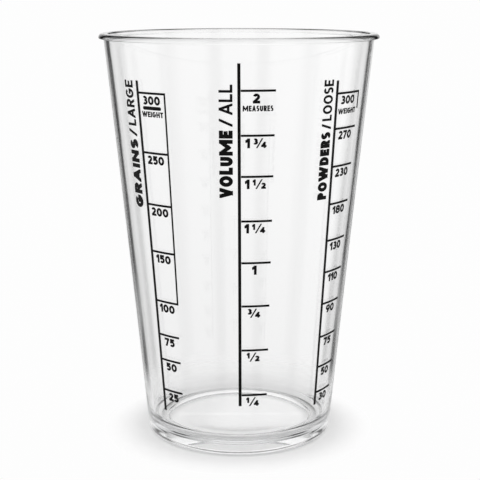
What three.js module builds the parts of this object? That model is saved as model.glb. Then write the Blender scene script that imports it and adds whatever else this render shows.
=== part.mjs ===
// A clear moulded measuring cup with three scales printed on its outer wall.
// Millimetres, +Z up. The origin is on the cup's axis, on the plane that it stands on.
// The scales face -Y: cups at the front, sugar to the left of it and flour to the right.

import * as THREE from 'three';

// Moulded cup: overall sizes
const CUP_HEIGHT = 140;
const BASE_RADIUS = 32.5; // outer wall, carried down to the standing plane
const MOUTH_RADIUS = 46.1; // outer wall, carried up to the top of the rim
const WALL_BOW = 0.25; // how far the wall bows in, half way up
const WALL_AT_BASE = 2.1;
const WALL_AT_MOUTH = 1.6;

// Moulded cup: base
const BASE_ROUND = 2.8; // outer corner between underside and wall
const FOOT_WIDTH = 3.2; // flat ring that the cup stands on
const FOOT_BEVEL = 1.4; // width of the slope from the ring up to the groove
const FOOT_RECESS = 2.6; // underside inside the ring, above the standing plane
const GROOVE_DEPTH = 0.25; // round the edge of the underside
const GROOVE_WIDTH = 4.0;
const GROOVE_SLOPE = 2.3; // width of the slope from the groove in to the underside
const FLOOR_THICKNESS = 1.9;
const FLOOR_ROUND = 5.6; // inner corner between floor and wall

// Moulded cup: rim
const LIP_RADIUS = 47.6;
const LIP_TOP_ROUND = 1.4; // upper edge of the lip
const LIP_SIDE = 0.1; // upright band between its two edges
const LIP_UNDER_ROUND = 0.2; // lower edge of the lip
const LIP_FILLET = 0.6; // under the lip, against the wall
const RIM_ROUND = 0.1; // inner edge of the mouth

// Printed ink
const INK_THICKNESS = 0.15;
const INK_GAP = 0.05; // between a film and what it lies against
const SPINE_WIDTH = 1.0;
const MARK_WIDTH = 0.7;
const RAIL_WIDTH = 0.55;

// The three scales. Azimuths are in degrees from the front, positive to the right.
// A mark's place runs from 0 at the lowest mark to 1 at the top mark.
const SUGAR_SCALE = {
  name: 'sugar',
  azimuth: -46.5, // spine at the top mark
  lean: -1.4, // how far the spine has turned at the lowest mark
  sweep: 14.4, // from the spine's centre to the ends of the marks
  topMarkDrop: 17.6, // below the rim
  lowMarkHeight: 21,
  spineAbove: 3.8, // past the top mark
  spineBelow: 7.8, // past the lowest mark
  railMark: '100', // the side line runs from the top mark down to this one
  marks: [
    ['300', 1],
    ['250', 0.81],
    ['200', 0.641],
    ['150', 0.484],
    ['100', 0.315],
    ['75', 0.197],
    ['50', 0.109],
    ['25', 0],
  ],
};
const CUPS_SCALE = {
  name: 'cups',
  azimuth: 0,
  lean: 0.6,
  sweep: 14.8,
  topMarkDrop: 15.9,
  lowMarkHeight: 22.6,
  spineAbove: 8.4,
  spineBelow: 3.9,
  marks: [
    ['2', 1],
    ['1_3_4', 0.862],
    ['1_1_2', 0.733],
    ['1_1_4', 0.59],
    ['1', 0.453],
    ['3_4', 0.308],
    ['1_2', 0.157],
    ['1_4', 0],
  ],
};
const FLOUR_SCALE = {
  name: 'flour',
  azimuth: 44.6,
  lean: 4.9,
  sweep: 16.3,
  topMarkDrop: 17.9,
  lowMarkHeight: 19.3,
  spineAbove: 4.2,
  spineBelow: 4.5,
  railLength: 5.6, // side line, below the top mark
  marks: [
    ['300', 1],
    ['270', 0.889],
    ['230', 0.768],
    ['180', 0.646],
    ['130', 0.525],
    ['110', 0.419],
    ['90', 0.311],
    ['75', 0.196],
    ['50', 0.09],
    ['30', 0],
  ],
};

// Facets
const TURN_STEPS = 72;
const WALL_STEPS = 6;
const CORNER_STEPS = 6;
const SMALL_CORNER_STEPS = 3;
const MARK_STEPS = 8;
const LINE_STEPS = 10;
const SLOPE_SPAN = 1; // height over which a wall's lean is taken

const CLEAR_PLASTIC = new THREE.MeshStandardMaterial({
  color: 0xf2f5f6,
  roughness: 0.05,
  metalness: 0,
  transparent: true,
  opacity: 0.3,
});
const BLACK_INK = new THREE.MeshStandardMaterial({ color: 0x111112, roughness: 0.4, metalness: 0 });

const FLOOR_HEIGHT = FOOT_RECESS + FLOOR_THICKNESS;
const LIP_HEIGHT = LIP_TOP_ROUND + LIP_SIDE + LIP_UNDER_ROUND;
const HALF_TURN = Math.PI;
const QUARTER_TURN = Math.PI / 2;

// Outer wall: a straight taper that bows in between base and mouth.
function outerRadius(height) {
  const share = height / CUP_HEIGHT;
  const taper = BASE_RADIUS + (MOUTH_RADIUS - BASE_RADIUS) * share;
  return taper - 4 * WALL_BOW * share * (1 - share);
}

// Inner wall: the outer wall less a thickness that thins towards the mouth.
function innerRadius(height) {
  const share = height / CUP_HEIGHT;
  return outerRadius(height) - WALL_AT_BASE - (WALL_AT_MOUTH - WALL_AT_BASE) * share;
}

// How far a wall leans out from upright at a height, in radians.
function leanOf(wallRadius, height) {
  const rise = wallRadius(height + SLOPE_SPAN / 2) - wallRadius(height - SLOPE_SPAN / 2);
  return Math.atan(rise / SLOPE_SPAN);
}

function arc(radius, height, round, from, to, steps) {
  return new THREE.ArcCurve(radius, height, round, from, to, from > to).getPoints(steps);
}

// Points on a wall between two heights, without its ends.
function wallPoints(wallRadius, from, to) {
  return Array.from({ length: WALL_STEPS - 1 }, (unused, i) => {
    const height = from + ((to - from) * (i + 1)) / WALL_STEPS;
    return new THREE.Vector2(wallRadius(height), height);
  });
}

// Outer corner under the base: it meets the standing plane and the wall smoothly.
function baseCorner() {
  const lean = leanOf(outerRadius, BASE_ROUND);
  const centre = outerRadius(BASE_ROUND) - BASE_ROUND / Math.cos(lean);
  return arc(centre, BASE_ROUND, BASE_ROUND, -QUARTER_TURN, -lean, CORNER_STEPS);
}

// Hollow corner under the lip.
function lipCorner() {
  const height = CUP_HEIGHT - LIP_HEIGHT - LIP_FILLET;
  const lean = leanOf(outerRadius, height);
  const centre = outerRadius(height) + LIP_FILLET / Math.cos(lean);
  return arc(centre, height, LIP_FILLET, HALF_TURN - lean, QUARTER_TURN, SMALL_CORNER_STEPS);
}

// Outer edge of the lip: a tight round below and a full round above.
function lipEdge() {
  const low = CUP_HEIGHT - LIP_HEIGHT + LIP_UNDER_ROUND;
  const high = CUP_HEIGHT - LIP_TOP_ROUND;
  return [
    ...arc(LIP_RADIUS - LIP_UNDER_ROUND, low, LIP_UNDER_ROUND, -QUARTER_TURN, 0, SMALL_CORNER_STEPS),
    ...arc(LIP_RADIUS - LIP_TOP_ROUND, high, LIP_TOP_ROUND, 0, QUARTER_TURN, CORNER_STEPS),
  ];
}

// Inner edge of the mouth.
function mouthEdge() {
  const height = CUP_HEIGHT - RIM_ROUND;
  const lean = leanOf(innerRadius, height);
  const centre = innerRadius(height) + RIM_ROUND / Math.cos(lean);
  return arc(centre, height, RIM_ROUND, QUARTER_TURN, HALF_TURN - lean, SMALL_CORNER_STEPS);
}

// Inner corner between the wall and the floor.
function floorCorner() {
  const height = FLOOR_HEIGHT + FLOOR_ROUND;
  const lean = leanOf(innerRadius, height);
  const centre = innerRadius(height) - FLOOR_ROUND / Math.cos(lean);
  return arc(centre, height, FLOOR_ROUND, -lean, -QUARTER_TURN, CORNER_STEPS);
}

// Underside: the middle, a shallow groove round it and the slope down to the foot ring.
function underside(footInside) {
  const slopeTop = footInside - FOOT_BEVEL;
  const grooveInside = slopeTop - GROOVE_WIDTH;
  const grooveHeight = FOOT_RECESS + GROOVE_DEPTH;
  return [
    new THREE.Vector2(0, FOOT_RECESS),
    new THREE.Vector2(grooveInside - GROOVE_SLOPE, FOOT_RECESS),
    new THREE.Vector2(grooveInside, grooveHeight),
    new THREE.Vector2(slopeTop, grooveHeight),
    new THREE.Vector2(footInside, 0),
  ];
}

// The cup in half section, from the axis under the base to the axis on the floor.
function cupProfile() {
  const base = baseCorner();
  const underLip = lipCorner();
  const mouth = mouthEdge();
  const floor = floorCorner();
  return [
    ...underside(base[0].x - FOOT_WIDTH),
    ...base,
    ...wallPoints(outerRadius, base.at(-1).y, underLip[0].y),
    ...underLip,
    ...lipEdge(),
    ...mouth,
    ...wallPoints(innerRadius, mouth.at(-1).y, floor[0].y),
    ...floor,
    new THREE.Vector2(0, FLOOR_HEIGHT),
  ];
}

function cupBody() {
  const geometry = new THREE.LatheGeometry(cupProfile(), TURN_STEPS);
  geometry.rotateX(QUARTER_TURN);
  const mesh = new THREE.Mesh(geometry, CLEAR_PLASTIC);
  mesh.name = 'cup_body';
  return mesh;
}

// Bends a flat film, x across, y up the cup and z out of it, onto the outer wall.
function inkMesh(name, film, azimuthAt) {
  const position = film.getAttribute('position');
  const point = new THREE.Vector3();
  for (let i = 0; i < position.count; i += 1) {
    point.fromBufferAttribute(position, i);
    const radius = outerRadius(point.y) + INK_GAP + point.z;
    const azimuth = azimuthAt(point.x, point.y);
    position.setXYZ(i, radius * Math.sin(azimuth), -radius * Math.cos(azimuth), point.y);
  }
  film.computeVertexNormals();
  const mesh = new THREE.Mesh(film, BLACK_INK);
  mesh.name = name;
  return mesh;
}

function topMarkHeight(scale) {
  return CUP_HEIGHT - scale.topMarkDrop;
}

function markHeight(scale, place) {
  return scale.lowMarkHeight + (topMarkHeight(scale) - scale.lowMarkHeight) * place;
}

// The spine's centre line, in radians.
function spineAzimuth(scale, height) {
  const span = topMarkHeight(scale) - scale.lowMarkHeight;
  const down = (topMarkHeight(scale) - height) / span;
  return THREE.MathUtils.degToRad(scale.azimuth + scale.lean * down);
}

function marksEnd(scale, height) {
  return spineAzimuth(scale, height) + THREE.MathUtils.degToRad(scale.sweep);
}

// An upright printed line between two heights.
function uprightLine(name, width, low, high, centreAt) {
  const film = new THREE.BoxGeometry(width, high - low, INK_THICKNESS, 1, LINE_STEPS, 1);
  film.translate(0, (low + high) / 2, INK_THICKNESS / 2);
  return inkMesh(name, film, (across, height) => centreAt(height) + across / outerRadius(height));
}

function spine(scale) {
  const low = scale.lowMarkHeight - scale.spineBelow;
  const high = topMarkHeight(scale) + scale.spineAbove;
  return uprightLine(`${scale.name}_spine`, SPINE_WIDTH, low, high, (height) => spineAzimuth(scale, height));
}

// Where a scale's side line stops: level with a mark, or a length below the top mark.
function railLow(scale) {
  if (scale.railLength) return topMarkHeight(scale) - scale.railLength;
  const [, place] = scale.marks.find(([label]) => label === scale.railMark);
  return markHeight(scale, place) - MARK_WIDTH / 2;
}

// Side line down from the end of the top mark.
function rail(scale) {
  const low = railLow(scale);
  const high = topMarkHeight(scale) + MARK_WIDTH / 2;
  const offset = INK_GAP + RAIL_WIDTH / 2;
  const centreAt = (height) => marksEnd(scale, height) + offset / outerRadius(height);
  return uprightLine(`${scale.name}_rail`, RAIL_WIDTH, low, high, centreAt);
}

// One graduation, from the spine's edge round the wall.
function mark(scale, label, place) {
  const level = markHeight(scale, place);
  const film = new THREE.BoxGeometry(1, MARK_WIDTH, INK_THICKNESS, MARK_STEPS, 1, 1);
  film.translate(0.5, level, INK_THICKNESS / 2);
  const offset = SPINE_WIDTH / 2 + INK_GAP;
  return inkMesh(`${scale.name}_mark_${label}`, film, (along, height) => {
    const start = spineAzimuth(scale, height) + offset / outerRadius(height);
    return start + (marksEnd(scale, height) - start) * along;
  });
}

function printedScale(scale) {
  const group = new THREE.Group();
  group.add(spine(scale));
  if (scale.railMark || scale.railLength) group.add(rail(scale));
  scale.marks.forEach(([label, place]) => group.add(mark(scale, label, place)));
  return group;
}

const measuringCup = new THREE.Group();
measuringCup.add(cupBody());
[SUGAR_SCALE, CUPS_SCALE, FLOUR_SCALE].forEach((scale) => measuringCup.add(printedScale(scale)));

export default measuringCup;
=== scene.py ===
import math

import bpy
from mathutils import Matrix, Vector
from mathutils.geometry import convex_hull_2d, delaunay_2d_cdt


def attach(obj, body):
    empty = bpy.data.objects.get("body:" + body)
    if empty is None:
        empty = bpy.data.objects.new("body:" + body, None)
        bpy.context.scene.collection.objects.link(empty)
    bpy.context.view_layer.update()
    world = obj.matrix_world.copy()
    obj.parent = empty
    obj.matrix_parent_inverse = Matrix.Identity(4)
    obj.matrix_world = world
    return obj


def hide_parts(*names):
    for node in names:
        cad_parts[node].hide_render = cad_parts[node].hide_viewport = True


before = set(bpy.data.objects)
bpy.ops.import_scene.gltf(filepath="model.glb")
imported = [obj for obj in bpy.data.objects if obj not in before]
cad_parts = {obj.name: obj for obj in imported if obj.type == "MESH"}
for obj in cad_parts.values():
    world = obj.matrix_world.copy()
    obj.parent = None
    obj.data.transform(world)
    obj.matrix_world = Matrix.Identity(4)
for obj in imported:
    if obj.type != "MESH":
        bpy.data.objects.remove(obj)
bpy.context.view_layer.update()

MM = 0.001

# Moulded cup, in millimetres: the same sizes as the solid model
CUP_HEIGHT = 140.0
BASE_RADIUS = 32.5
MOUTH_RADIUS = 46.1
WALL_BOW = 0.25
WALL_AT_BASE = 2.1
WALL_AT_MOUTH = 1.6
BASE_ROUND = 2.8
FOOT_WIDTH = 3.2
FOOT_BEVEL = 1.4
FOOT_RECESS = 2.6
GROOVE_DEPTH = 0.25
GROOVE_WIDTH = 4.0
GROOVE_SLOPE = 2.3
FLOOR_THICKNESS = 1.9
FLOOR_HEIGHT = FOOT_RECESS + FLOOR_THICKNESS
FLOOR_ROUND = 5.6
LIP_RADIUS = 47.6
LIP_TOP_ROUND = 1.4
LIP_SIDE = 0.1
LIP_UNDER_ROUND = 0.2
LIP_HEIGHT = LIP_TOP_ROUND + LIP_SIDE + LIP_UNDER_ROUND
LIP_FILLET = 0.6
RIM_ROUND = 0.1

# Fineness of the turned shape, the step in millimetres that slopes are taken over,
# and the least angle of a sharp edge
TURN_STEPS = 256
WALL_STEPS = 24
CORNER_STEPS = 16
SMALL_CORNER_STEPS = 8
SLOPE_STEP = 0.5
CREASE = math.radians(40)

# Ink films, in millimetres: gap to the wall, thickness, spacing of their inner points,
# the distance at which points count as one, and the difference that counts as one height
INK_GAP = 0.05
INK_THICKNESS = 0.1
FILM_GRID = 0.8
MERGE_DISTANCE = 1e-5
SAME_HEIGHT = 0.05

# Printed numbers: cap height, drop below the mark and shift along the wall in millimetres,
# stroke weight and spacing in cap heights, stretch as a factor of each digit's width
NUMBER_CAP = {"sugar": 2.85, "cups": 3.1, "flour": 2.8}
NUMBER_SHIFT = {"sugar": 0.0, "cups": -0.55, "flour": -0.3}
NUMBER_STRETCH = {"sugar": 1.12, "cups": 1.15, "flour": 1.22}
NUMBER_WEIGHT = {"sugar": 0.265, "cups": 0.28, "flour": 0.255}
NUMBER_DROP = 0.85
NUMBER_SPACING = 0.09

# Fractions, in cap heights, with factors for the size and the width of their digits;
# the slash has its places at the foot and at the top
FRACTION_GAP = 0.3
FRACTION_SCALE = 0.64
FRACTION_STRETCH = 1.2
FRACTION_SLASH = (0.38, 0.95)
FRACTION_WIDTH = 1.38
FRACTION_WEIGHT = 0.2
FRACTION_SLASH_WEIGHT = 0.14

# Headings beside the spines, in millimetres: cap height, distance of the baseline from
# the spine, and each word with the heights that it starts and ends at
HEADINGS = {
    "sugar": {
        "cap": 4.4,
        "gap": 2.4,
        "bold": ("GRAINS", 84.2, 107.0),
        "slash": (108.0, 110.3),
        "light": ("LARGE", 111.4, 126.1),
    },
    "cups": {
        "cap": 4.3,
        "gap": 2.0,
        "bold": ("VOLUME", 90.1, 111.7),
        "slash": (112.9, 115.4),
        "light": ("ALL", 116.6, 126.0),
    },
    "flour": {
        "cap": 4.0,
        "gap": 1.85,
        "bold": ("POWDERS", 87.8, 110.0),
        "slash": (110.9, 112.7),
        "light": ("LOOSE", 113.6, 126.7),
    },
}
BOLD_WEIGHT = 0.3
LIGHT_WEIGHT = 0.19
WORD_SPACING = 0.09

# Unit words under the top marks: the mark, the word, its width and its drop below the mark
UNITS = {
    "sugar": ("300", "WEIGHT", 9.0, 6.7),
    "cups": ("2", "MEASURES", 9.6, 5.5),
    "flour": ("300", "WEIGHT", 10.2, 5.9),
}
UNIT_CAP = 1.8
UNIT_WEIGHT = 0.24
UNIT_SPACING = 0.12

# Bar under the sugar scale's top number: length, width and drop below the mark
BAR_SIZE = (7.7, 1.15)
BAR_DROP = 4.75

# Limits between which a word is stretched to its length, and how often the guess is halved
STRETCH_LIMITS = (0.2, 3.0)
STRETCH_TRIES = 40


# The wall bows inwards by WALL_BOW at half its height
def outer_radius(height):
    share = height / CUP_HEIGHT
    taper = BASE_RADIUS + (MOUTH_RADIUS - BASE_RADIUS) * share
    return taper - 4 * WALL_BOW * share * (1 - share)


def inner_radius(height):
    share = height / CUP_HEIGHT
    return outer_radius(height) - WALL_AT_BASE - (WALL_AT_MOUTH - WALL_AT_BASE) * share


# How far a wall leans outwards at a height
def lean_of(wall, height):
    return math.atan((wall(height + SLOPE_STEP) - wall(height - SLOPE_STEP)) / (2 * SLOPE_STEP))


def arc(radius, height, round_, start, end, steps):
    turns = [start + (end - start) * i / steps for i in range(steps + 1)]
    return [(radius + round_ * math.cos(turn), height + round_ * math.sin(turn)) for turn in turns]


def wall_points(wall, start, end):
    heights = [start + (end - start) * i / WALL_STEPS for i in range(1, WALL_STEPS)]
    return [(wall(height), height) for height in heights]


# Half section of the cup, from the middle of its underside to the middle of its floor
def cup_profile():
    quarter = math.pi / 2
    lean = lean_of(outer_radius, BASE_ROUND)
    centre = outer_radius(BASE_ROUND) - BASE_ROUND / math.cos(lean)
    base = arc(centre, BASE_ROUND, BASE_ROUND, -quarter, -lean, CORNER_STEPS)

    height = CUP_HEIGHT - LIP_HEIGHT - LIP_FILLET
    lean = lean_of(outer_radius, height)
    centre = outer_radius(height) + LIP_FILLET / math.cos(lean)
    under_lip = arc(centre, height, LIP_FILLET, math.pi - lean, quarter, SMALL_CORNER_STEPS)

    height = CUP_HEIGHT - LIP_HEIGHT + LIP_UNDER_ROUND
    lip = arc(LIP_RADIUS - LIP_UNDER_ROUND, height, LIP_UNDER_ROUND, -quarter, 0, SMALL_CORNER_STEPS)
    height = CUP_HEIGHT - LIP_TOP_ROUND
    lip += arc(LIP_RADIUS - LIP_TOP_ROUND, height, LIP_TOP_ROUND, 0, quarter, CORNER_STEPS)

    height = CUP_HEIGHT - RIM_ROUND
    lean = lean_of(inner_radius, height)
    centre = inner_radius(height) + RIM_ROUND / math.cos(lean)
    mouth = arc(centre, height, RIM_ROUND, quarter, math.pi - lean, SMALL_CORNER_STEPS)

    height = FLOOR_HEIGHT + FLOOR_ROUND
    lean = lean_of(inner_radius, height)
    centre = inner_radius(height) - FLOOR_ROUND / math.cos(lean)
    floor = arc(centre, height, FLOOR_ROUND, -lean, -quarter, CORNER_STEPS)

    foot = base[0][0] - FOOT_WIDTH
    groove = foot - FOOT_BEVEL - GROOVE_WIDTH
    groove_top = FOOT_RECESS + GROOVE_DEPTH
    underside = [(0, FOOT_RECESS), (groove - GROOVE_SLOPE, FOOT_RECESS), (groove, groove_top)]
    underside += [(foot - FOOT_BEVEL, groove_top), (foot, 0)]
    outside = base + wall_points(outer_radius, base[-1][1], under_lip[0][1]) + under_lip
    inside = mouth + wall_points(inner_radius, mouth[-1][1], floor[0][1]) + floor
    return underside + outside + lip + inside + [(0, FLOOR_HEIGHT)]


# A point by its angle round the cup's axis from the front, radius and height in millimetres
def on_wall(azimuth, radius, height):
    return Vector((radius * math.sin(azimuth), -radius * math.cos(azimuth), height)) * MM


def add_mesh(name, verts, faces):
    mesh = bpy.data.meshes.new(name)
    mesh.from_pydata(verts, [], faces)
    mesh.update()
    piece = bpy.data.objects.new(name, mesh)
    bpy.context.scene.collection.objects.link(piece)
    return piece


def smooth(piece):
    for polygon in piece.data.polygons:
        polygon.use_smooth = True
    piece.data.set_sharp_from_angle(angle=CREASE)


def turned(name, profile):
    verts, rings, faces = [], [], []
    for radius, height in profile:
        count = TURN_STEPS if radius > 0 else 1
        rings.append([len(verts) + i for i in range(count)])
        verts.extend(on_wall(2 * math.pi * i / TURN_STEPS, radius, height) for i in range(count))
    for low, high in zip(rings, rings[1:]):
        for i in range(TURN_STEPS):
            j = (i + 1) % TURN_STEPS
            if len(low) == 1:
                faces.append((low[0], high[j], high[i]))
            elif len(high) == 1:
                faces.append((low[i], low[j], high[0]))
            else:
                faces.append((low[i], low[j], high[j], high[i]))
    piece = add_mesh(name, verts, faces)
    smooth(piece)
    return piece


# Letters and digits as pen strokes on a cell one cap height tall. Each has its width
# and its strokes: two points make a straight stroke, more points make a curve.
# Curves have a point every ARC_STEP degrees, and the halves of a ring overlap.
ARC_STEP = 12
RING_OVERLAP = 5


def bend(x, y, wide, high, start, end):
    count = max(2, round(abs(end - start) / ARC_STEP))
    turns = [math.radians(start + (end - start) * i / count) for i in range(count + 1)]
    return [(x + wide * math.cos(turn), y + high * math.sin(turn)) for turn in turns]


def ring(x, y, wide, high):
    upper = bend(x, y, wide, high, -RING_OVERLAP, 180 + RING_OVERLAP)
    lower = bend(x, y, wide, high, 180 - RING_OVERLAP, 360 + RING_OVERLAP)
    return [upper, lower]


STEM = [(0, 0), (0, 1)]
FAR_STEM = [(1, 0), (1, 1)]
TOP_BAR = [(0, 1), (1, 1)]
MIDDLE_BAR = [(0, 0.51), (0.85, 0.51)]
BOTTOM_BAR = [(0, 0), (1, 0)]
BOWL = [(0, 1)] + bend(0.5, 0.74, 0.5, 0.26, 90, -90) + [(0, 0.48)]
LETTERS = {
    "A": (0.8, [[(0, -0.05), (0.5, 1.05)], [(1, -0.05), (0.5, 1.05)], [(0.25, 0.27), (0.75, 0.27)]]),
    "D": (0.74, [STEM, [(0, 1)] + bend(0.4, 0.5, 0.6, 0.5, 90, -90) + [(0, 0)]]),
    "E": (0.6, [STEM, TOP_BAR, MIDDLE_BAR, BOTTOM_BAR]),
    "G": (0.8, [bend(0.5, 0.5, 0.5, 0.5, 45, 358), [(0.6, 0.47), (1, 0.47)]]),
    "H": (0.72, [STEM, FAR_STEM, [(0, 0.51), (1, 0.51)]]),
    "I": (0.0, [STEM]),
    "L": (0.56, [STEM, BOTTOM_BAR]),
    "M": (1.2, [STEM, FAR_STEM, [(0, 1.05), (0.5, 0.22)], [(1, 1.05), (0.5, 0.22)]]),
    "N": (0.75, [STEM, FAR_STEM, [(0, 1), (1, 0)]]),
    "O": (0.84, ring(0.5, 0.5, 0.5, 0.5)),
    "P": (0.64, [STEM, BOWL]),
    "R": (0.67, [STEM, BOWL, [(0.62, 0.36), (1, -0.05)]]),
    "S": (0.62, [bend(0.5, 0.75, 0.47, 0.25, 35, 265) + bend(0.5, 0.25, 0.5, 0.25, 85, -145)]),
    "T": (0.62, [TOP_BAR, [(0.5, 0), (0.5, 1)]]),
    "U": (0.72, [[(0, 1.1)] + bend(0.5, 0.42, 0.5, 0.42, 180, 360) + [(1, 1.1)]]),
    "V": (0.78, [[(0, 1.05), (0.5, -0.08)], [(1, 1.05), (0.5, -0.08)]]),
    "W": (1.3, [
        [(0, 1.05), (0.26, -0.08)],
        [(0.5, 1.05), (0.26, -0.08)],
        [(0.5, 1.05), (0.74, -0.08)],
        [(1, 1.05), (0.74, -0.08)],
    ]),
    "0": (0.73, ring(0.5, 0.5, 0.5, 0.5)),
    "1": (0.42, [FAR_STEM, [(-0.2, 0.78), (0.8, 0.98)]]),
    "2": (0.64, [bend(0.47, 0.72, 0.47, 0.28, 165, -32) + [(0, 0.02)], BOTTOM_BAR]),
    "3": (0.65, [
        bend(0.45, 0.76, 0.45, 0.24, 145, -90) + [(0.3, 0.52)],
        [(0.3, 0.52)] + bend(0.45, 0.26, 0.55, 0.26, 90, -145),
    ]),
    "4": (0.72, [[(0.72, 1.02), (0, 0.27)], [(0, 0.24), (1.05, 0.24)], [(0.72, 0), (0.72, 1)]]),
    "5": (0.65, [[(0.16, 1), (0.9, 1)], [(0.14, 1), (0.1, 0.6)], bend(0.45, 0.32, 0.55, 0.32, 125, -145)]),
    "7": (0.63, [TOP_BAR, [(1, 1), (0.3, -0.05)]]),
    "8": (0.77, ring(0.5, 0.77, 0.44, 0.23) + ring(0.5, 0.26, 0.5, 0.26)),
    "9": (0.68, ring(0.5, 0.68, 0.5, 0.32) + [[(0.93, 0.5), (0.4, -0.05)]]),
    "/": (0.6, [[(0, -0.05), (1, 1.05)]]),
}


# A stroke as convex pieces, one between each two of its points; a straight one has square ends
def stroke_pieces(points, weight):
    points = [Vector(point) for point in points]
    if len(points) == 2:
        along = (points[1] - points[0]).normalized() * weight / 2
        points = [points[0] - along, points[1] + along]
    edges = []
    for i, point in enumerate(points):
        before, after = points[max(i - 1, 0)], points[min(i + 1, len(points) - 1)]
        along = (after - before).normalized()
        across = Vector((-along.y, along.x)) * weight / 2
        edges.append((point + across, point - across))
    pieces = []
    for start, end in zip(edges, edges[1:]):
        corners = [*start, *end]
        pieces.append([corners[i] for i in convex_hull_2d(corners)])
    return pieces


# A piece of a stroke, cut off at the sides, foot and top of its letter's cell
def clipped(polygon, width):
    for axis, limit, side in ((0, 0.0, 1), (0, width, -1), (1, 0.0, 1), (1, 1.0, -1)):
        kept = []
        for start, end in zip(polygon, polygon[1:] + polygon[:1]):
            depth_start = side * (start[axis] - limit)
            depth_end = side * (end[axis] - limit)
            if depth_start >= 0:
                kept.append(start)
            if (depth_start >= 0) != (depth_end >= 0):
                kept.append(start.lerp(end, depth_start / (depth_start - depth_end)))
        polygon = kept
    return polygon


def glyph(letter, weight, stretch):
    width, strokes = LETTERS[letter]
    width = max(width * stretch, weight)
    outlines = []
    for stroke in strokes:
        points = [(weight / 2 + x * (width - weight), weight / 2 + y * (1 - weight)) for x, y in stroke]
        outlines += [clipped(piece, width) for piece in stroke_pieces(points, weight)]
    return width, outlines


def moved(outlines, x, y, scale=1.0):
    shift = Vector((x, y))
    return [[point * scale + shift for point in outline] for outline in outlines]


def word(text, weight, spacing, stretch):
    outlines, x = [], 0.0
    for letter in text:
        width, strokes = glyph(letter, weight, stretch)
        outlines += moved(strokes, x, 0)
        x += width + spacing * stretch
    return x - spacing * stretch, outlines


def fitted_word(text, weight, spacing, length):
    low, high = STRETCH_LIMITS
    for _ in range(STRETCH_TRIES):
        stretch = (low + high) / 2
        if word(text, weight, spacing, stretch)[0] < length:
            low = stretch
        else:
            high = stretch
    return word(text, weight, spacing, stretch)[1]


def fraction(top, bottom):
    weight = FRACTION_WEIGHT / FRACTION_SCALE
    _, upper = glyph(top, weight, FRACTION_STRETCH)
    outlines = moved(upper, 0, 1 - FRACTION_SCALE, FRACTION_SCALE)
    width, lower = glyph(bottom, weight, FRACTION_STRETCH)
    outlines += moved(lower, FRACTION_WIDTH - width * FRACTION_SCALE, 0, FRACTION_SCALE)
    start, end = FRACTION_SLASH
    slash = stroke_pieces([(start, 0), (end, 1)], FRACTION_SLASH_WEIGHT)
    return outlines + [clipped(piece, FRACTION_WIDTH) for piece in slash]


# A label such as 1_3_4 is a whole number, a fraction or both
def number(label, weight, stretch):
    parts = label.split("_")
    if len(parts) == 1:
        return word(parts[0], weight, NUMBER_SPACING, stretch)
    if len(parts) == 2:
        return FRACTION_WIDTH, fraction(*parts)
    width, outlines = word(parts[0], weight, NUMBER_SPACING, stretch)
    width += FRACTION_GAP
    return width + FRACTION_WIDTH, outlines + moved(fraction(*parts[1:]), width, 0)


def inner_steps(values):
    low, high = min(values), max(values)
    count = max(1, math.ceil((high - low) / FILM_GRID))
    return [low + (high - low) * i / count for i in range(1, count)]


# The outlines joined into one flat sheet, with enough points to bend round the wall
def film_triangles(outlines):
    points, faces = [], []
    for outline in outlines:
        faces.append(list(range(len(points), len(points) + len(outline))))
        points += outline
    columns = inner_steps([point.x for point in points])
    rows = inner_steps([point.y for point in points])
    points += [Vector((x, y)) for x in columns for y in rows]
    all_triangles = 0
    with_sources = True
    result = delaunay_2d_cdt(points, [], faces, all_triangles, MERGE_DISTANCE, with_sources)
    flat, _, triangles, _, _, sources = result
    return flat, [triangle for triangle, source in zip(triangles, sources) if source]


# A closed film on the wall; place turns a flat point into an angle and a height
def ink_film(name, outlines, place, ink):
    flat, triangles = film_triangles(outlines)
    used = sorted({corner for triangle in triangles for corner in triangle})
    index = {corner: i for i, corner in enumerate(used)}
    verts = []
    for depth in (INK_GAP, INK_GAP + INK_THICKNESS):
        for corner in used:
            azimuth, height = place(*flat[corner])
            verts.append(on_wall(azimuth, outer_radius(height) + depth, height))
    count = len(used)
    faces, edges = [], set()
    for triangle in triangles:
        a, b, c = (index[corner] for corner in triangle)
        faces += [(a + count, b + count, c + count), (c, b, a)]
        edges |= {(a, b), (b, c), (c, a)}
    for a, b in edges:
        if (b, a) not in edges:
            faces.append((a, b, b + count, a + count))
    piece = add_mesh(name, verts, faces)
    smooth(piece)
    piece.data.materials.append(ink)
    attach(piece, "root")


def centre_of(node):
    points = [vertex.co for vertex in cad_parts[node].data.vertices]
    middle = sum(points, Vector()) / len(points)
    return math.atan2(middle.x, -middle.y), middle.z / MM


# Print that stands level on the wall, with its middle and its foot given
def level(azimuth, bottom):
    def place(x, y):
        height = bottom + y
        return azimuth + x / outer_radius(height), height

    return place


def printed_number(node, ink):
    scale, label = node.split("_mark_")
    azimuth, height = centre_of(node)
    cap = NUMBER_CAP[scale]
    width, outlines = number(label, NUMBER_WEIGHT[scale], NUMBER_STRETCH[scale])
    outlines = moved(outlines, NUMBER_SHIFT[scale] - width * cap / 2, 0, cap)
    bottom = height - NUMBER_DROP - cap
    ink_film(f"{scale}_number_{label}", outlines, level(azimuth, bottom), ink)


def printed_unit(scale, ink):
    label, text, width, drop = UNITS[scale]
    azimuth, height = centre_of(f"{scale}_mark_{label}")
    outlines = fitted_word(text, UNIT_WEIGHT, UNIT_SPACING, width / UNIT_CAP)
    outlines = moved(outlines, -width / 2, 0, UNIT_CAP)
    ink_film(f"{scale}_unit", outlines, level(azimuth, height - drop - UNIT_CAP / 2), ink)


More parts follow.
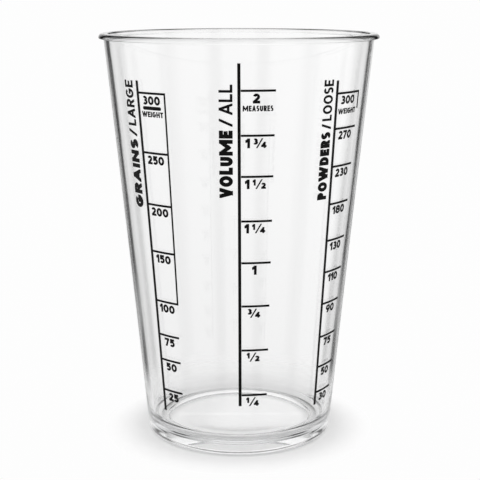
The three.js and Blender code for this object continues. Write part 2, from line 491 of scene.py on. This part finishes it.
# The angle of a scale's spine at a height
def spine_line(scale):
    points = [vertex.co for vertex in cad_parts[f"{scale}_spine"].data.vertices]
    ends = []
    for pick in (min, max):
        end = pick(point.z for point in points)
        level_points = [point for point in points if abs(point.z - end) < SAME_HEIGHT * MM]
        middle = sum(level_points, Vector()) / len(level_points)
        ends.append((math.atan2(middle.x, -middle.y), end / MM))
    (low_azimuth, low), (high_azimuth, high) = ends
    return lambda height: low_azimuth + (high_azimuth - low_azimuth) * (height - low) / (high - low)


def printed_heading(scale, ink):
    heading = HEADINGS[scale]
    cap, gap = heading["cap"], heading["gap"]
    outlines = []
    for key, weight in (("bold", BOLD_WEIGHT), ("light", LIGHT_WEIGHT)):
        text, start, end = heading[key]
        letters = fitted_word(text, weight, WORD_SPACING, (end - start) / cap)
        outlines += moved(letters, start, 0, cap)
    start, end = heading["slash"]
    slash = glyph("/", LIGHT_WEIGHT, (end - start) / cap / LETTERS["/"][0])[1]
    outlines += moved(slash, start, 0, cap)
    spine = spine_line(scale)

    def place(x, y):
        return spine(x) - (gap + y) / outer_radius(x), x

    ink_film(f"{scale}_heading", outlines, place, ink)


def printed_bar(ink):
    azimuth, height = centre_of("sugar_mark_300")
    wide, high = BAR_SIZE
    end = (wide - high) / 2
    outline = bend(end, 0, high / 2, high / 2, -90, 90) + bend(-end, 0, high / 2, high / 2, 90, 270)
    ink_film("sugar_bar", [[Vector(point) for point in outline]], level(azimuth, height - BAR_DROP), ink)


# Materials
WHITE = (1, 1, 1, 1)
NOISE_DETAIL = 2

# Clear plastic: refraction, tint and density of what it takes up, and the moulding's flow
# lines with their fineness, stretch up the wall, depth and the heights in metres they set in at
PLASTIC_IOR = 1.5
PLASTIC_TINT = (0.84, 0.845, 0.85, 1)
PLASTIC_DENSITY = 25
FLOW_SCALE = 120
FLOW_STRETCH = (1, 1, 0.05)
FLOW_DEPTH = 0.00005
FLOW_FROM = (0.03, 0.07)

# Black ink: gloss, fineness and range of its mottle, and the shades, roughness and relief it gives
INK_SPECULAR = 0.08
MOTTLE_SCALE = 2500
MOTTLE_RANGE = (0.3, 0.7)
INK_SHADES = (0.002, 0.006)
INK_ROUGHNESS = (0.42, 0.6)
INK_RELIEF = 0.00001


def new_material(name):
    material = bpy.data.materials.new(name)
    material.use_nodes = True
    return material, material.node_tree, material.node_tree.nodes["Principled BSDF"]


def math_node(tree, operation, *values):
    node = tree.nodes.new("ShaderNodeMath")
    node.operation = operation
    for socket, value in zip(node.inputs, values):
        if isinstance(value, (int, float)):
            socket.default_value = value
        else:
            tree.links.new(value, socket)
    return node.outputs[0]


def range_node(tree, value, source, target, kind="LINEAR"):
    node = tree.nodes.new("ShaderNodeMapRange")
    node.interpolation_type = kind
    tree.links.new(value, node.inputs["Value"])
    for socket, limit in zip(("From Min", "From Max", "To Min", "To Max"), (*source, *target)):
        node.inputs[socket].default_value = limit
    return node.outputs["Result"]


# A shade that follows a value through the stops
def ramp_node(tree, value, stops):
    low, high = stops[0][0], stops[-1][0]
    node = tree.nodes.new("ShaderNodeValToRGB")
    tree.links.new(range_node(tree, value, (low, high), (0, 1)), node.inputs["Fac"])
    elements = node.color_ramp.elements
    while len(elements) < len(stops):
        elements.new(1.0)
    for element, (at, shade) in zip(elements, stops):
        element.position = (at - low) / (high - low)
        element.color = (shade, shade, shade, 1)
    return node.outputs["Color"]


def noise_node(tree, scale, stretch=(1, 1, 1)):
    coordinates = tree.nodes.new("ShaderNodeTexCoord")
    mapping = tree.nodes.new("ShaderNodeMapping")
    mapping.inputs["Scale"].default_value = stretch
    noise = tree.nodes.new("ShaderNodeTexNoise")
    noise.inputs["Scale"].default_value = scale
    noise.inputs["Detail"].default_value = NOISE_DETAIL
    tree.links.new(coordinates.outputs["Object"], mapping.inputs["Vector"])
    tree.links.new(mapping.outputs["Vector"], noise.inputs["Vector"])
    return noise.outputs["Fac"]


def bump_node(tree, height, distance, shader):
    bump = tree.nodes.new("ShaderNodeBump")
    bump.inputs["Strength"].default_value = 1
    bump.inputs["Distance"].default_value = distance
    tree.links.new(height, bump.inputs["Height"])
    tree.links.new(bump.outputs["Normal"], shader.inputs["Normal"])


def clear_plastic():
    material, tree, shader = new_material("clear_plastic")
    shader.inputs["Base Color"].default_value = WHITE
    shader.inputs["Transmission Weight"].default_value = 1
    shader.inputs["IOR"].default_value = PLASTIC_IOR
    shader.inputs["Roughness"].default_value = 0
    absorption = tree.nodes.new("ShaderNodeVolumeAbsorption")
    absorption.inputs["Color"].default_value = PLASTIC_TINT
    absorption.inputs["Density"].default_value = PLASTIC_DENSITY
    output = tree.nodes["Material Output"]
    tree.links.new(absorption.outputs["Volume"], output.inputs["Volume"])
    coordinates = tree.nodes.new("ShaderNodeTexCoord")
    place = tree.nodes.new("ShaderNodeSeparateXYZ")
    tree.links.new(coordinates.outputs["Object"], place.inputs[0])
    above_floor = range_node(tree, place.outputs["Z"], FLOW_FROM, (0, 1))
    flow = math_node(tree, "MULTIPLY", noise_node(tree, FLOW_SCALE, FLOW_STRETCH), above_floor)
    bump_node(tree, flow, FLOW_DEPTH, shader)
    return material


def black_ink():
    material, tree, shader = new_material("black_ink")
    shader.inputs["Specular IOR Level"].default_value = INK_SPECULAR
    mottle = noise_node(tree, MOTTLE_SCALE)
    shades = list(zip(MOTTLE_RANGE, INK_SHADES))
    tree.links.new(ramp_node(tree, mottle, shades), shader.inputs["Base Color"])
    tree.links.new(range_node(tree, mottle, MOTTLE_RANGE, INK_ROUGHNESS), shader.inputs["Roughness"])
    bump_node(tree, mottle, INK_RELIEF, shader)
    return material


# The stage: a pale floor, and a bright room with dark flags round the cup
BACKGROUND = (0.985, 0.985, 0.985, 1)

# Studio floor: colour, radius and drop below the foot in millimetres, and sides of its disc.
# Over these radii in metres it turns white for the camera, and open for what the plastic shows.
STAGE_COLOUR = (0.98, 0.98, 0.98, 1)
STAGE_REACH = 30000.0
STAGE_DROP = 0.2
STAGE_SIDES = 72
STAGE_WHITE_FROM = (0.035, 0.048)
STAGE_OPEN_FROM = (0.04, 0.09)

# Strength of the room's light on the floor, from the horizon to straight above
SKY_STRENGTH = (0.15, 1.05)


def mirrored(stops):
    return [(-turn, shade) for turn, shade in reversed(stops)]


# How bright the room shows in the plastic, by turn in degrees from straight behind the cup:
# the flags on its left, on its right, on both sides further round, and towards the camera
LEFT_FLAGS = [
    (8, 1), (12, 0.9), (16, 0.72), (20, 0.55), (25, 0.3), (27, 0.03), (34.5, 0.03), (39, 0.78), (46, 1),
]
RIGHT_FLAGS = [
    (8, 1.05), (11.5, 1.03), (13.5, 0.78), (16, 0.74), (20, 0.64), (25, 0.42),
    (27, 0.03), (35, 0.03), (39.5, 0.78), (46, 1),
]
FAR_FLAGS = [(55, 1.05), (59, 0.55), (64, 0.55), (68, 1.1)]
FLAGS = [(-180, 1), *mirrored(LEFT_FLAGS + FAR_FLAGS), *RIGHT_FLAGS, *FAR_FLAGS, (180, 1)]
NEAR_FLAGS = [
    (0, 1), (105, 1), (110, 0.55), (116, 0.55), (121, 1),
    (150, 1), (155, 0.55), (161, 0.55), (166, 1), (180, 1),
]

# By rise in degrees above the horizon: how bright the room is, and the least that the flags
# leave of it. Light that was reflected inside the plastic finds full flags low down, and
# light that came straight through it never finds the room darker than STRAIGHT_THROUGH.
RISE = [
    (-90, 0.05), (-48, 0.05), (-34, 0.83), (-18, 0.87),
    (-10, 0.92), (-2, 0.945), (10, 0.96), (30, 1), (90, 1),
]
CLEAR_OF_FLAGS = [
    (-90, 0.95), (-33, 0.95), (-25, 0.45), (-22, 0.42), (-19, 0.36), (-17.3, 0.26),
    (-15.5, 0), (25, 0), (40, 0.5), (55, 1), (90, 1),
]
CLEAR_WHEN_REFLECTED = [(-90, 0), (-20, 0), (-15, 1), (90, 1)]
STRAIGHT_THROUGH = 0.78

# A slanted window behind the cup that shines on its floor: slant as turn for each degree
# of rise, and its brightness across and by rise
WINDOW_SLANT = 0.8
WINDOW_ACROSS = [(-18.6, 0), (-17.2, 0.5), (-11.4, 0.5), (-10, 0)]
WINDOW_RISE = [(18.2, 0), (19, 1), (20.3, 1), (20.9, 0)]

# Soft lamp above the cup, in metres and watts
LAMP_WIDTH = 0.8
LAMP_POWER = 4.086
LAMP_PLACE = Vector((0, -0.15, 1.2))

# Camera, in metres, millimetres of lens and sensor, and degrees that it looks down
CAMERA_PLACE = (0.00033, -0.4136, 0.1557)
CAMERA_PITCH = 11.98
CAMERA_LENS = 90
CAMERA_SENSOR = 36
CAMERA_NEAR = 0.01

# How often light may turn inside the plastic
MOST_BOUNCES = 32
TRANSMISSION_BOUNCES = 28
GLOSSY_BOUNCES = 16


# True while a count of bounces is zero
def none_yet(tree, count):
    return math_node(tree, "LESS_THAN", count, 0.5)


# What the plastic shows, and what the camera sees directly
def see_through_ray(tree):
    path = tree.nodes.new("ShaderNodeLightPath")
    mirror = math_node(tree, "MAXIMUM", path.outputs["Is Glossy Ray"], path.outputs["Is Transmission Ray"])
    direct = none_yet(tree, path.outputs["Diffuse Depth"])
    return math_node(tree, "MULTIPLY", mirror, direct), path.outputs["Is Camera Ray"]


def mix_shaders(tree, share, first, second):
    node = tree.nodes.new("ShaderNodeMixShader")
    tree.links.new(share, node.inputs[0])
    tree.links.new(first, node.inputs[1])
    tree.links.new(second, node.inputs[2])
    return node.outputs[0]


def floor_material():
    material, tree, shader = new_material("studio_floor")
    shader.inputs["Base Color"].default_value = STAGE_COLOUR
    shader.inputs["Roughness"].default_value = 1
    shader.inputs["Specular IOR Level"].default_value = 0
    coordinates = tree.nodes.new("ShaderNodeTexCoord")
    length = tree.nodes.new("ShaderNodeVectorMath")
    length.operation = "LENGTH"
    tree.links.new(coordinates.outputs["Object"], length.inputs[0])
    radius = length.outputs["Value"]
    see_through, camera = see_through_ray(tree)
    white = tree.nodes.new("ShaderNodeEmission")
    white.inputs["Color"].default_value = BACKGROUND
    fade = range_node(tree, radius, STAGE_WHITE_FROM, (0, 1), "SMOOTHSTEP")
    seen = mix_shaders(tree, math_node(tree, "MULTIPLY", fade, camera), shader.outputs[0], white.outputs[0])
    open_ = tree.nodes.new("ShaderNodeBsdfTransparent")
    gone = range_node(tree, radius, STAGE_OPEN_FROM, (0, 1), "SMOOTHSTEP")
    gone = math_node(tree, "MULTIPLY", gone, see_through)
    seen = mix_shaders(tree, gone, seen, open_.outputs[0])
    tree.links.new(seen, tree.nodes["Material Output"].inputs["Surface"])
    material.cycles.emission_sampling = "NONE"
    return material


def studio_floor():
    turns = [2 * math.pi * i / STAGE_SIDES for i in range(STAGE_SIDES)]
    rim = [on_wall(turn, STAGE_REACH, -STAGE_DROP) for turn in turns]
    floor = add_mesh("studio_floor", rim, [list(range(STAGE_SIDES))])
    floor.data.materials.append(floor_material())


def room_angles(tree):
    coordinates = tree.nodes.new("ShaderNodeTexCoord")
    direction = tree.nodes.new("ShaderNodeSeparateXYZ")
    tree.links.new(coordinates.outputs["Generated"], direction.inputs[0])
    x, y, z = direction.outputs
    turn = math_node(tree, "DEGREES", math_node(tree, "ARCTAN2", x, y))
    rise = math_node(tree, "DEGREES", math_node(tree, "ARCSINE", z))
    return turn, rise, z


def room_flags(tree, turn, rise):
    side_flags = ramp_node(tree, turn, FLAGS)
    near_flags = ramp_node(tree, math_node(tree, "ABSOLUTE", turn), NEAR_FLAGS)
    flags = math_node(tree, "MULTIPLY", side_flags, near_flags)
    reflections = tree.nodes.new("ShaderNodeLightPath").outputs["Glossy Depth"]
    straight = none_yet(tree, reflections)
    clear = math_node(tree, "MAXIMUM", straight, ramp_node(tree, rise, CLEAR_WHEN_REFLECTED))
    clear = math_node(tree, "MINIMUM", clear, ramp_node(tree, rise, CLEAR_OF_FLAGS))
    flags = math_node(tree, "MAXIMUM", flags, clear)
    least = math_node(tree, "MULTIPLY", straight, STRAIGHT_THROUGH)
    room = math_node(tree, "MAXIMUM", ramp_node(tree, rise, RISE), least)
    return math_node(tree, "MULTIPLY", flags, room)


def room_window(tree, turn, rise):
    slant = math_node(tree, "MULTIPLY", rise, WINDOW_SLANT)
    across = ramp_node(tree, math_node(tree, "SUBTRACT", turn, slant), WINDOW_ACROSS)
    return math_node(tree, "MULTIPLY", across, ramp_node(tree, rise, WINDOW_RISE))


def background_node(tree, colour):
    node = tree.nodes.new("ShaderNodeBackground")
    node.inputs["Color"].default_value = colour
    return node


def studio_world():
    world = bpy.data.worlds.new("studio")
    bpy.context.scene.world = world
    world.use_nodes = True
    tree = world.node_tree
    tree.nodes.clear()
    turn, rise, z = room_angles(tree)

    backdrop = background_node(tree, BACKGROUND)
    sky = background_node(tree, WHITE)
    tree.links.new(range_node(tree, z, (0, 1), SKY_STRENGTH), sky.inputs["Strength"])
    panels = background_node(tree, WHITE)
    pattern = math_node(tree, "ADD", room_flags(tree, turn, rise), room_window(tree, turn, rise))
    tree.links.new(pattern, panels.inputs["Strength"])

    see_through, camera = see_through_ray(tree)
    shown = mix_shaders(tree, see_through, sky.outputs[0], panels.outputs[0])
    shown = mix_shaders(tree, camera, shown, backdrop.outputs[0])
    output = tree.nodes.new("ShaderNodeOutputWorld")
    tree.links.new(shown, output.inputs["Surface"])


def studio_lamp():
    lamp = bpy.data.lights.new("softbox", "AREA")
    lamp.shape = "DISK"
    lamp.size = LAMP_WIDTH
    lamp.energy = LAMP_POWER
    lamp.cycles.use_multiple_importance_sampling = False
    holder = bpy.data.objects.new("softbox", lamp)
    bpy.context.scene.collection.objects.link(holder)
    holder.location = LAMP_PLACE
    holder.rotation_euler = (-LAMP_PLACE).to_track_quat("-Z", "Y").to_euler()


def studio_camera():
    camera = bpy.data.cameras.new("camera")
    camera.sensor_width = CAMERA_SENSOR
    camera.lens = CAMERA_LENS
    camera.clip_start = CAMERA_NEAR
    holder = bpy.data.objects.new("camera", camera)
    bpy.context.scene.collection.objects.link(holder)
    holder.location = CAMERA_PLACE
    holder.rotation_euler = (math.radians(90 - CAMERA_PITCH), 0, 0)
    bpy.context.scene.camera = holder


def render_settings():
    scene = bpy.context.scene
    scene.view_settings.view_transform = "Standard"
    scene.cycles.max_bounces = MOST_BOUNCES
    scene.cycles.transmission_bounces = TRANSMISSION_BOUNCES
    scene.cycles.glossy_bounces = GLOSSY_BOUNCES
    scene.cycles.blur_glossy = 0


def moulded_cup():
    cup = turned("moulded_cup", cup_profile())
    cup.data.materials.append(clear_plastic())
    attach(cup, "root")
    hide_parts("cup_body")


def printed_scales():
    ink = black_ink()
    for name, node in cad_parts.items():
        if name != "cup_body":
            node.data.materials.clear()
            node.data.materials.append(ink)
        if "_mark_" in name:
            printed_number(name, ink)
    for scale in HEADINGS:
        printed_heading(scale, ink)
        printed_unit(scale, ink)
    printed_bar(ink)


studio_camera()
moulded_cup()
printed_scales()
studio_floor()
studio_world()
studio_lamp()
render_settings()
